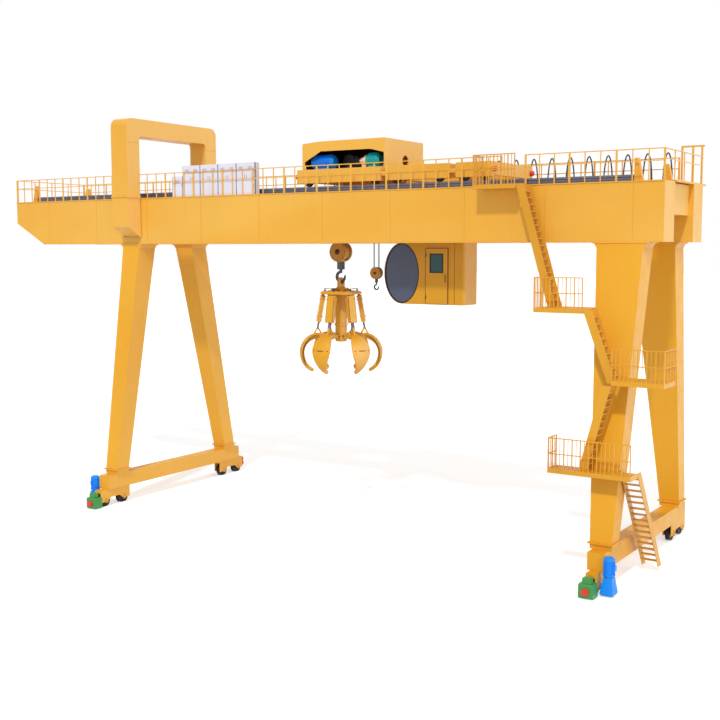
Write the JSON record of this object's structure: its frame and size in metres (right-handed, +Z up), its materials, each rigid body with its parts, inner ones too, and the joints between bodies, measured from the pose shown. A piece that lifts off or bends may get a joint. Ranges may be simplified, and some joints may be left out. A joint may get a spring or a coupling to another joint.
{
  "type": "gantry crane",
  "caption": "double girder gantry crane on A shaped legs, with a travelling trolley, a hanging cab, an orange peel grab, an auxiliary hook and an access stair",
  "frame": {"origin": "on the level of the ground rails' tops, midway between the two rails and between the girders", "axes": "X along the girders, towards the cab's back and the stair, Y across them, Z up"},
  "size_m": [29.9073, 9.5619, 15.59],
  "materials": {
    "yellow_paint": "yellow enamel, sun faded",
    "pale_paint": "pale peach enamel",
    "rail_steel": "rolled steel",
    "dark_steel": "forged, oiled",
    "cabinet_paint": "pale grey enamel",
    "blue_paint": "blue enamel",
    "green_paint": "green enamel",
    "red_rubber": "moulded",
    "tinted_glass": "tinted",
    "rope_wire": "stranded wire",
    "black_rubber": "cable sheath",
    "wheel_steel": "rolled tread"
  },
  "bodies": {
    "root": {"front_girder": "yellow_paint", "rear_girder": "yellow_paint", "end_ties": "yellow_paint", "trolley_rails": "rail_steel", "rail_stops": "yellow_paint", "portal_frame": "yellow_paint", "portal_brackets": "yellow_paint", "front_right_leg": "yellow_paint", "rear_right_leg": "yellow_paint", "front_left_leg": "yellow_paint", "rear_left_leg": "yellow_paint", "sill_beams": "yellow_paint", "bogie_frames": "yellow_paint", "ground_wheels": "wheel_steel", "travel_reducers": "blue_paint", "travel_motors": "blue_paint", "rail_clamps": "green_paint", "ground_buffers": "red_rubber", "front_handrail": "yellow_paint", "rear_handrail": "yellow_paint", "end_railings": "yellow_paint", "end_platform": "yellow_paint", "electrical_cabinets": "cabinet_paint", "stair_flight_1": "yellow_paint", "stair_flight_2": "yellow_paint", "stair_flight_3": "yellow_paint", "stair_flight_4": "yellow_paint", "stair_landings": "yellow_paint", "festoon_cable": "black_rubber"},
    "trolley": {"trolley_frame": "yellow_paint", "trolley_wheels": "wheel_steel", "trolley_buffers": "red_rubber", "trolley_house": "yellow_paint", "hoist_motors": "blue_paint", "hoist_drums": "dark_steel", "cab_hanger": "yellow_paint", "cab_shell": "pale_paint", "cab_door": "pale_paint", "cab_windows": "tinted_glass", "main_ropes": "rope_wire", "aux_ropes": "rope_wire"},
    "main_hook_body": {"hook_block": "yellow_paint", "main_hook": "dark_steel", "grab_head": "pale_paint", "grab_cylinders": "yellow_paint"},
    "aux_hook_body": {"aux_block": "yellow_paint", "aux_hook": "dark_steel"},
    "tine_1_body": {"tine_1": "yellow_paint"},
    "tine_2_body": {"tine_2": "yellow_paint"},
    "tine_3_body": {"tine_3": "yellow_paint"},
    "tine_4_body": {"tine_4": "yellow_paint"},
    "tine_5_body": {"tine_5": "yellow_paint"},
    "tine_6_body": {"tine_6": "yellow_paint"},
    "cylinder_rod_1_body": {"cylinder_rod_1": "rail_steel"},
    "cylinder_rod_2_body": {"cylinder_rod_2": "rail_steel"},
    "cylinder_rod_3_body": {"cylinder_rod_3": "rail_steel"},
    "cylinder_rod_4_body": {"cylinder_rod_4": "rail_steel"},
    "cylinder_rod_5_body": {"cylinder_rod_5": "rail_steel"},
    "cylinder_rod_6_body": {"cylinder_rod_6": "rail_steel"}
  },
  "joints": [
    {"name": "trolley_travel", "type": "slide", "parent": "root", "child": "trolley", "axis": [1, 0, 0], "range_m": [-14.23, 4.74]},
    {"name": "main_hoist", "type": "slide", "parent": "trolley", "child": "main_hook_body", "axis": [0, 0, -1], "range_m": [0, 5.4], "deforming": ["main_ropes"]},
    {"name": "aux_hoist", "type": "slide", "parent": "trolley", "child": "aux_hook_body", "axis": [0, 0, -1], "range_m": [0, 8.3], "deforming": ["aux_ropes"]},
    {"name": "tine_1_close", "type": "hinge", "parent": "main_hook_body", "child": "tine_1_body", "pos_m": [-1.33629, 0.16776, 7], "axis": [-0.5592, 0.829, 0], "range_deg": [0, 34]},
    {"name": "cylinder_rod_1_stroke", "type": "slide", "parent": "main_hook_body", "child": "cylinder_rod_1_body", "axis": [0.1697, 0.1145, -0.9788], "range_m": [0, 0.4009]},
    {"name": "tine_2_close", "type": "hinge", "parent": "main_hook_body", "child": "tine_2_body", "pos_m": [-1.60593, 0.29927, 7], "axis": [-0.9976, -0.0698, 0], "range_deg": [0, 34]},
    {"name": "cylinder_rod_2_stroke", "type": "slide", "parent": "main_hook_body", "child": "cylinder_rod_2_body", "axis": [-0.0143, 0.2042, -0.9788], "range_m": [0, 0.4009]},
    {"name": "tine_3_close", "type": "hinge", "parent": "main_hook_body", "child": "tine_3_body", "pos_m": [-1.85464, 0.13151, 7], "axis": [-0.4384, -0.8988, 0], "range_deg": [0, 34]},
    {"name": "cylinder_rod_3_stroke", "type": "slide", "parent": "main_hook_body", "child": "cylinder_rod_3_body", "axis": [-0.184, 0.0897, -0.9788], "range_m": [0, 0.4009]},
    {"name": "tine_4_close", "type": "hinge", "parent": "main_hook_body", "child": "tine_4_body", "pos_m": [-1.83371, -0.16776, 7], "axis": [0.5592, -0.829, 0], "range_deg": [0, 34]},
    {"name": "cylinder_rod_4_stroke", "type": "slide", "parent": "main_hook_body", "child": "cylinder_rod_4_body", "axis": [-0.1697, -0.1145, -0.9788], "range_m": [0, 0.4009]},
    {"name": "tine_5_close", "type": "hinge", "parent": "main_hook_body", "child": "tine_5_body", "pos_m": [-1.56407, -0.29927, 7], "axis": [0.9976, 0.0698, 0], "range_deg": [0, 34]},
    {"name": "cylinder_rod_5_stroke", "type": "slide", "parent": "main_hook_body", "child": "cylinder_rod_5_body", "axis": [0.0143, -0.2042, -0.9788], "range_m": [0, 0.4009]},
    {"name": "tine_6_close", "type": "hinge", "parent": "main_hook_body", "child": "tine_6_body", "pos_m": [-1.31536, -0.13151, 7], "axis": [0.4384, 0.8988, 0], "range_deg": [0, 34]},
    {"name": "cylinder_rod_6_stroke", "type": "slide", "parent": "main_hook_body", "child": "cylinder_rod_6_body", "axis": [0.184, -0.0897, -0.9788], "range_m": [0, 0.4009]}
  ],
  "couplings": [
    {"joint": "tine_2_close", "follows": "tine_1_close", "ratio": 1},
    {"joint": "tine_3_close", "follows": "tine_1_close", "ratio": 1},
    {"joint": "tine_4_close", "follows": "tine_1_close", "ratio": 1},
    {"joint": "tine_5_close", "follows": "tine_1_close", "ratio": 1},
    {"joint": "tine_6_close", "follows": "tine_1_close", "ratio": 1},
    {"joint": "cylinder_rod_1_stroke", "follows": "tine_1_close", "m_per_rad": 0.67476},
    {"joint": "cylinder_rod_2_stroke", "follows": "tine_1_close", "m_per_rad": 0.67476},
    {"joint": "cylinder_rod_3_stroke", "follows": "tine_1_close", "m_per_rad": 0.67476},
    {"joint": "cylinder_rod_4_stroke", "follows": "tine_1_close", "m_per_rad": 0.67476},
    {"joint": "cylinder_rod_5_stroke", "follows": "tine_1_close", "m_per_rad": 0.67476},
    {"joint": "cylinder_rod_6_stroke", "follows": "tine_1_close", "m_per_rad": 0.67476}
  ]
}
